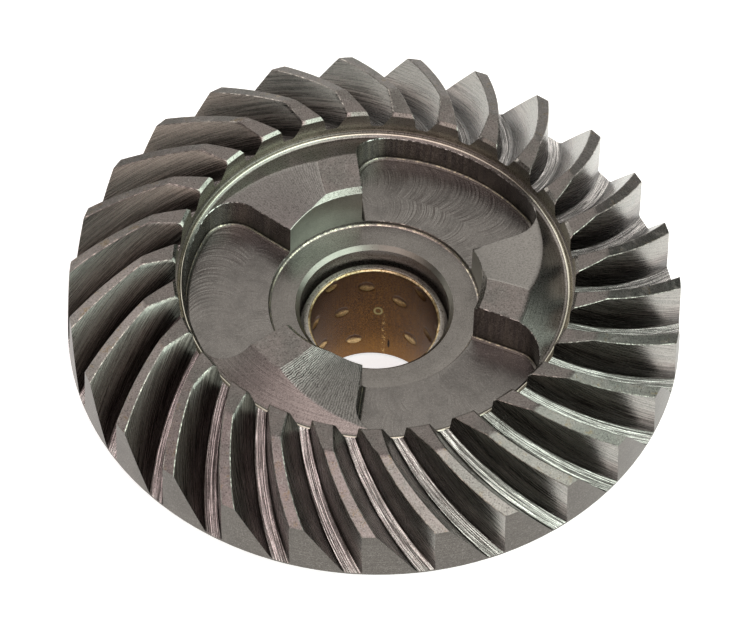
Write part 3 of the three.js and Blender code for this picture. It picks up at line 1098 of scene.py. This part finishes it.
def bronze():
    """Browned bearing bronze with gold flecks beside the lower part of the seam; in the dimples, a
    painted gold highlight on the upward-facing side and painted shade on the downward-facing side.
    """
    g = Graph("bronze_lining")
    upright = stretched(g, g.azimuth, 0, g.z, (0.9, 1, 0.12), 3, 0.8)
    grain = g.noise(g.place, 3, 4, 0.9)
    cloud = g.noise(g.place, 0.2, 4, 0.6)
    color = g.mix(g.span(grain, 0.36, 0.62), BROWN_DARK, BROWN_LIGHT)
    color = g.mix(g.span(upright, 0.56, 0.42, 0, 0.5), color, STREAK_BROWN)
    color = g.mix(g.span(cloud, 0.35, 0.65, 0, 0.35), color, CLOUD_BROWN)
    color = g.mix(g.span(g.z, 10, 1, 0, 0.4), color, FLOOR_END_GOLD)

    # Painted light in the dents: upward-facing parts are painted gold as a highlight and
    # downward-facing parts dark as shade.
    in_dimple = g.span(g.minus(g.radius, LINING_BORE), 0.02, 0.12)
    normal = g.add("NewGeometry").outputs["Normal"]
    lean = g.add("SeparateXYZ", Vector=normal).outputs["Z"]
    bright = g.span(g.plus(lean, g.times(grain, 0.6)), 0.25, 0.6)
    across = g.minus(g.azimuth, SEAM_AZIMUTH)
    # Painted light: the dimples on the low-azimuth side of the seam get less of the gold highlight,
    # as they face away from the light.
    gold = g.times(bright, g.span(across, -45, -15, 0.25, 1))
    gold = g.times(gold, g.span(grain, 0.36, 0.52, 0.45, 1))
    color = g.mix(in_dimple, color, g.mix(gold, DIMPLE_SHADE, DIMPLE_HIGHLIGHT_GOLD))

    low = g.span(g.z, 16, 7, 0, 0.9)
    near = g.times(g.span(g.absolute(across), 2.4, 0.3), low)
    flecks = g.times(near, g.span(g.noise(g.place, 1.9, 3, 0.8), 0.52, 0.6))
    color = g.mix(flecks, color, FLECK_GOLD)

    def distance_to(azimuth, height, squash):
        side = g.times(g.minus(across, azimuth), radians(1) * LINING_BORE)
        return g.length(side, g.times(g.minus(g.z, height), squash))

    ring = g.absolute(g.minus(distance_to(STAMP_TURN, STAMP_HEIGHT, 0.8), 0.75))
    uneven = g.plus(ring, g.times(grain, 0.6))
    color = g.mix(g.span(uneven, 0.6, 0.35, 0, 0.7), color, STAMP_GREY)
    # The slot is not cut in the mesh: it is painted near black, a painted shade for its hollow.
    notch = g.span(distance_to(NOTCH_TURN, NOTCH_HEIGHT, 0.18), 0.3, 0.15)
    color = g.mix(notch, color, NOTCH_BLACK)
    g.bump((upright, 0.02), (grain, 0.08))
    return g.finish(color, g.span(grain, 0.2, 0.8, 0.28, 0.44))


def gold_edge():
    """Bright bevel at the top of the lining."""
    g = Graph("bronze_edge")
    worn = g.noise(g.place, 1.6, 4, 0.85)
    color = g.mix(g.span(worn, 0.38, 0.56), EDGE_DULL, EDGE_BRIGHT)
    g.bump((worn, 0.08))
    return g.finish(color, g.span(worn, 0.3, 0.7, 0.45, 0.28))


def gear_materials():
    """The material of each surface kind of the gear, in the order of its slots."""
    top = ground_top("steel_top_land", 0.27, stains=0.8)
    flat = ground_top("steel_toe_flat", 0.225)
    plateau = ground_top("steel_plateau", 0.27)
    bevel = turned_steel("steel_bevel", 0.4, (1, 0.97, 0.9), 0.22, 0.4, 0.7)
    # Edges along the tops of the teeth and round the pocket floors: rubbed bright in places, and
    # painted lighter as a painted highlight.
    worn = bright_edge("steel_worn_edge_highlight", 0.6, 0.14, (1, 0.96, 0.88))
    # Painted highlight: a bright warm line on the middle strip of the fillets at the foot of the
    # pocket walls and on the step down to the ring.
    line = bright_edge("steel_fillet_highlight", 1, 0.3, (1, 0.92, 0.72))
    # Painted shade: the other strips of those fillets are darker than the wall and the floor.
    foot = turned_steel("steel_pocket_foot_shade", 0.1, (1, 0.92, 0.82), 0.2, 0.3, 0.4)
    # Edges round the dogs' tops: rubbed bright in places, and painted as a bright line, a painted
    # highlight.
    rubbed_highlit_wall_edge = bright_edge("steel_wall_edge_highlight", 0.9, 0.04)
    lathe = turned_steel("steel_turned", 0.27, (1, 0.94, 0.88), 0.24, 0.4, 0.5)
    inner = turned_steel("steel_inner_wall", 0.42, (0.97, 1, 0.9), 0.28, 0.2, 0.3)
    heel = turned_steel("steel_heel_face", 0.118, (1, 0.91, 0.83), 0.3, 0.6, 0.4)
    toe = turned_steel("steel_toe_face", 0.3, (1, 0.97, 0.86))
    rim = turned_steel("steel_rim", 0.74, (0.98, 0.96, 0.82), 0.08, 0.5, 0.2)
    ring = turned_steel("steel_ring", 0.23, (1, 0.96, 0.91), 0.22, 0.2, 0.3)
    chamfer = turned_steel("steel_chamfer", 0.36, (1, 0.97, 0.88), 0.26, 0.2, 0.2)
    journal = turned_steel("steel_journal", 0.42, (1, 0.98, 0.96), 0.22, 0.28, 0.15)
    return {
        "land": top, "toe_flat": flat, "toe_bevel": bevel, "toe_face": toe, "heel_face": heel,
        "flank": flank_steel(), "root": root_steel(), "edge": worn, "edge_bevel": bevel,
        "plateau": plateau, "ramp": ramp_steel(), "turned": lathe, "inner_wall": inner, "rim": rim,
        "pocket_wall": pocket_wall_steel(), "pocket_floor": pocket_floor_steel(),
        "ring": ring, "ring_edge": line, "chamfer": chamfer, "journal": journal,
        "fillet": line, "pocket_foot": foot, "wall_edge": rubbed_highlit_wall_edge,
    }


def new_object(name, data):
    made = bpy.data.objects.new(name, data)
    bpy.context.scene.collection.objects.link(made)
    return made


def add_piece(mesh, name, materials, replaced, sharp=30):
    """Shades the mesh smooth, except along edges sharper than that many degrees."""
    piece = new_object(name, mesh)
    for material in materials:
        mesh.materials.append(material)
    mesh.polygons.foreach_set("use_smooth", [True] * len(mesh.polygons))
    mesh.set_sharp_from_angle(angle=radians(sharp))
    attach(piece, "root")
    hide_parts(replaced)


def build_pieces():
    kinds = gear_materials()
    add_piece(build_gear(list(kinds)), "gear", kinds.values(), "gear_body")
    shell = turned_steel("steel_bush_shell", 0.45, (1, 0.96, 0.88), 0.3, 0.6, 1)
    add_piece(build_shell(), "bush_backing", [shell], "bush_shell")
    bronzes = [bronze(), gold_edge()]
    add_piece(build_lining(), "bush_bronze", bronzes, "bush_lining", sharp=50)


# ---- Stage: floor, light and camera ----

FLOOR_TONE = 0.86
FLOOR_HALF = 8.0  # half of the paper's side, in metres
FLOOR_GAP = 0.2  # keeps the paper clear of the hub's end face
FLOOR_GLOW = 0.65  # the paper is lit from below too, in a pool round the gear
POOL_EDGE = (100, 450)  # distances over which that glow falls off
FAR_GLOW = 0.1
WHITE = (1, 1, 1, 1)

# Broad soft lights in a dark room: azimuth and elevation of the middle in degrees, degrees from
# there to the soft edge, and colour times strength.
RIGHT_PANEL = (335, 33, 50, (2.25, 2.6, 2.33))
CEILING = (255, 72, 42, (1.55, 1.28, 1.26))
BACK_PANEL = (92, 38, 34, (1.08, 1.02, 0.95))
LEFT_PANEL = (150, 30, 25, (1.9, 1.8, 1.7))
FRONT_FILL = (236, 8, 42, (0.95, 0.8, 0.71))
SOFT_LIGHTS = (RIGHT_PANEL, CEILING, BACK_PANEL, LEFT_PANEL, FRONT_FILL)
LIGHT_CORE = 0.3  # share of a light's reach that is at full strength
ROOM = 0.01


def build_floor():
    mesh = bpy.data.meshes.new("floor")
    square = ((-1, -1), (1, -1), (1, 1), (-1, 1))
    corners = [(x * FLOOR_HALF, y * FLOOR_HALF, -FLOOR_GAP * MM) for x, y in square]
    mesh.from_pydata(corners, [], [(0, 1, 2, 3)])
    floor = new_object("floor", mesh)
    g = Graph("floor_paper")
    g.put(g.shader.inputs["Emission Color"], WHITE)
    glow = g.span(g.radius, *POOL_EDGE, FLOOR_GLOW, FAR_GLOW)
    g.put(g.shader.inputs["Emission Strength"], glow)
    mesh.materials.append(g.finish(grey(FLOOR_TONE, WHITE), 0.9, 0.0))


def build_world():
    """A dark room with broad soft lights."""
    world = bpy.data.worlds.new("studio")
    world.use_nodes = True
    g = Nodes(world.node_tree)
    direction = g.add("TexCoord").outputs["Generated"]
    total = (ROOM, ROOM, ROOM)
    for azimuth, elevation, reach, color in SOFT_LIGHTS:
        rise = radians(elevation)
        middle = polar(cos(rise), azimuth, sin(rise))
        toward = g.vector_math("DOT_PRODUCT", direction, middle)
        edge, core = cos(radians(reach)), cos(radians(reach * LIGHT_CORE))
        light = g.vector_math("SCALE", color, g.span(toward, edge, core))
        total = g.vector_math("ADD", light, total)
    g.put(g.tree.nodes["Background"].inputs["Color"], total)
    bpy.context.scene.world = world


CAMERA_ELEVATION = 51.9
CAMERA_ROLL = 1.7
CAMERA_DISTANCE = 1.011
CAMERA_RIGHT = 0.0002
CAMERA_UP = 0.0015
CAMERA_LENS = 247.2
CAMERA_SENSOR = 36
CAMERA_CLIP = (0.05, 20)  # metres


def build_camera():
    """Looks along +Y and down, from the front of the gear, with its image a little turned."""
    elevation = radians(CAMERA_ELEVATION)
    roll = radians(CAMERA_ROLL)
    back = Vector((0, -cos(elevation), sin(elevation)))
    level = Vector((1, 0, 0))
    upward = Vector((0, sin(elevation), cos(elevation)))
    right = cos(roll) * level + sin(roll) * upward
    up = cos(roll) * upward - sin(roll) * level
    place = Vector((0, 0, HEEL_HEIGHT * MM)) + back * CAMERA_DISTANCE
    place += right * CAMERA_RIGHT
    place += up * CAMERA_UP
    camera = new_object("camera", bpy.data.cameras.new("camera"))
    turn = Matrix((right, up, back)).transposed().to_4x4()
    camera.matrix_world = Matrix.Translation(place) @ turn
    camera.data.lens = CAMERA_LENS
    camera.data.sensor_width = CAMERA_SENSOR
    camera.data.clip_start, camera.data.clip_end = CAMERA_CLIP
    bpy.context.scene.camera = camera


def main():
    build_pieces()
    build_floor()
    build_world()
    build_camera()
    bpy.context.scene.view_settings.view_transform = "Standard"


main()
